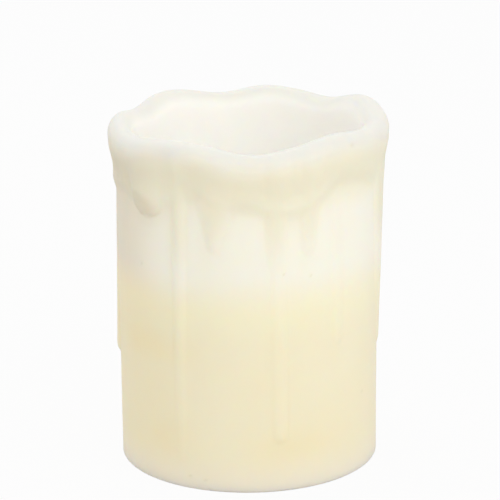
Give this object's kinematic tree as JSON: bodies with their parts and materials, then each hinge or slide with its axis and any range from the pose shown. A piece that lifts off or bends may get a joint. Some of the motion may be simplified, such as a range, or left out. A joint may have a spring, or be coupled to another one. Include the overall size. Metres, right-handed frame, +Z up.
{
  "type": "melted pillar candle",
  "caption": "Round wax pillar candle burned down inside, with a wavy lip hanging over its wall, runs of wax down the outside, and a charred wick in its well.",
  "frame": {"origin": "centre of the flat base", "axes": "+Z up along the candle's axis; the pictured front faces -Y, with +X to its right"},
  "size_m": [0.0819, 0.0815, 0.1047],
  "materials": {
    "wax": "soft satin wax, white above the well's floor and cream below it",
    "wick_cotton": "waxed braided cotton, charred black at its tip",
    "tinned_steel": "dull tinned steel"
  },
  "bodies": {
    "root": {"wax_body": "wax", "wick": "wick_cotton", "wick_sustainer": "tinned_steel"}
  },
  "joints": []
}
